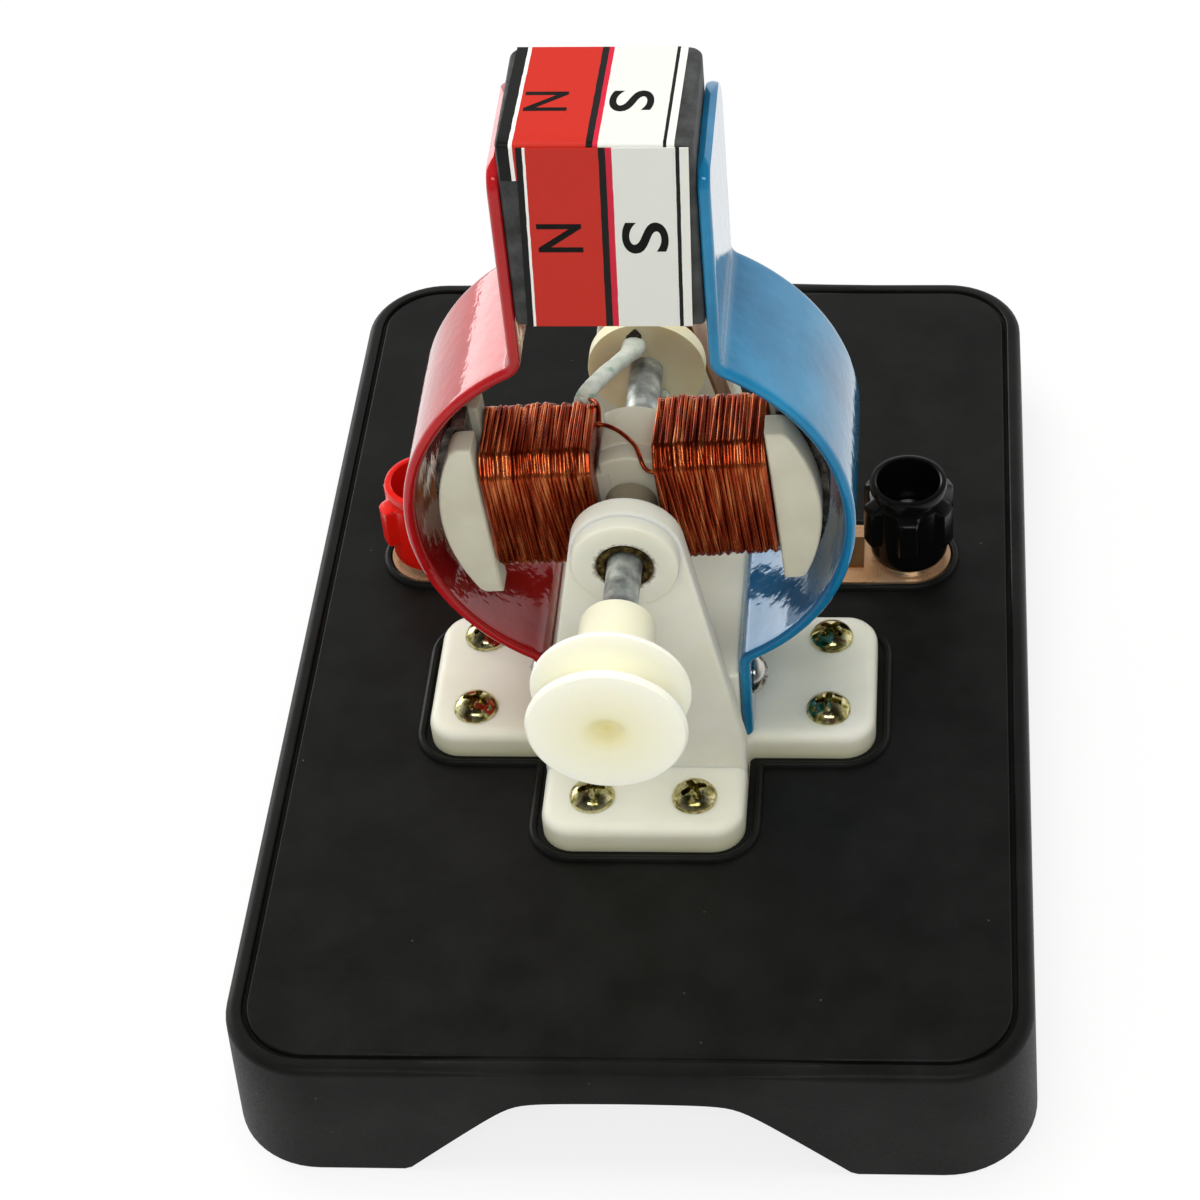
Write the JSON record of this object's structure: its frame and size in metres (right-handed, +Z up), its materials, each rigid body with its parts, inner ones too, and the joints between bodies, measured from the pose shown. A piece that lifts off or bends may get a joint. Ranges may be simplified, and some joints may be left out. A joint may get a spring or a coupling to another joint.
{
  "type": "demonstration electric motor",
  "caption": "Classroom DC motor model: wound rotor with split-ring commutator between red and blue pole pieces under a block magnet, on a tray base.",
  "frame": {"origin": "centre of the tray's underside, on the table", "axes": "+X to the right seen from the pulley, +Y along the shaft away from the pulley, +Z up"},
  "size_m": [0.0964, 0.1464, 0.1125],
  "materials": {
    "base_plastic": "matt moulded black plastic",
    "bracket_nylon": "slightly translucent warm white nylon",
    "screw_zinc": "yellow zinc plated steel",
    "bush_bronze": "sintered bronze",
    "red_paint": "gloss red paint on steel",
    "blue_paint": "gloss blue paint on steel",
    "nickel": "nickel plate",
    "ferrite": "dark grey sintered ferrite, matt",
    "label_paper": "printed sticker, red, white and black fields",
    "shaft_steel": "galvanised steel, dull",
    "pulley_nylon": "cream translucent nylon",
    "core_iron": "dark stacked iron plates",
    "enamel_copper": "enamelled copper wire",
    "sleeve": "white woven sleeve with green dots",
    "bare_copper": "bare copper",
    "brush_bronze": "phosphor bronze, dull",
    "red_cap": "gloss red plastic",
    "black_cap": "gloss black plastic"
  },
  "bodies": {
    "base": {"base_tray": "base_plastic", "bearing_bracket": "bracket_nylon", "bracket_screws": "screw_zinc", "front_bearing_bush": "bush_bronze", "rear_bearing_bush": "bush_bronze", "red_pole_piece": "red_paint", "blue_pole_piece": "blue_paint", "pole_screws": "nickel", "left_brush": "brush_bronze", "right_brush": "brush_bronze", "left_terminal_strip": "bare_copper", "right_terminal_strip": "bare_copper", "left_post_stud": "nickel", "right_post_stud": "nickel", "post_nuts": "nickel"},
    "rotor": {"rotor_shaft": "shaft_steel", "belt_pulley": "pulley_nylon", "rotor_core": "core_iron", "front_insulator": "bracket_nylon", "rear_insulator": "bracket_nylon", "left_coil": "enamel_copper", "right_coil": "enamel_copper", "coil_link_wire": "enamel_copper", "lead_sleeves": "sleeve", "lead_wires": "enamel_copper", "commutator_hub": "bracket_nylon", "upper_segment": "bare_copper", "lower_segment": "bare_copper"},
    "magnet_block": {"magnet": "ferrite", "magnet_top_label": "label_paper", "magnet_front_label": "label_paper"},
    "left_clamp": {"left_clamp_washer": "nickel"},
    "right_clamp": {"right_clamp_washer": "nickel"},
    "red_cap": {"red_post_cap": "red_cap"},
    "black_cap": {"black_post_cap": "black_cap"}
  },
  "joints": [
    {"name": "rotor_spin", "type": "hinge", "parent": "base", "child": "rotor", "pos_m": [0, -0.0158, 0.058], "axis": [0, 1, 0], "continuous": true},
    {"name": "magnet_lift", "type": "slide", "parent": "base", "child": "magnet_block", "axis": [0, 0, 1], "range_m": [0, 0.03]},
    {"name": "left_clamp_lift", "type": "slide", "parent": "base", "child": "left_clamp", "axis": [0, 0, 1], "range_m": [0, 0.003]},
    {"name": "right_clamp_lift", "type": "slide", "parent": "base", "child": "right_clamp", "axis": [0, 0, 1], "range_m": [0, 0.003]},
    {"name": "red_cap_turn", "type": "hinge", "parent": "left_clamp", "child": "red_cap", "pos_m": [-0.032, 0.01375, 0.0197], "axis": [0, 0, 1], "range_deg": [0, 1080]},
    {"name": "black_cap_turn", "type": "hinge", "parent": "right_clamp", "child": "black_cap", "pos_m": [0.032, 0.01375, 0.0197], "axis": [0, 0, 1], "range_deg": [0, 1080]}
  ],
  "couplings": [
    {"joint": "red_cap_turn", "follows": "left_clamp_lift", "rad_per_m": 6283.2},
    {"joint": "black_cap_turn", "follows": "right_clamp_lift", "rad_per_m": 6283.2}
  ]
}
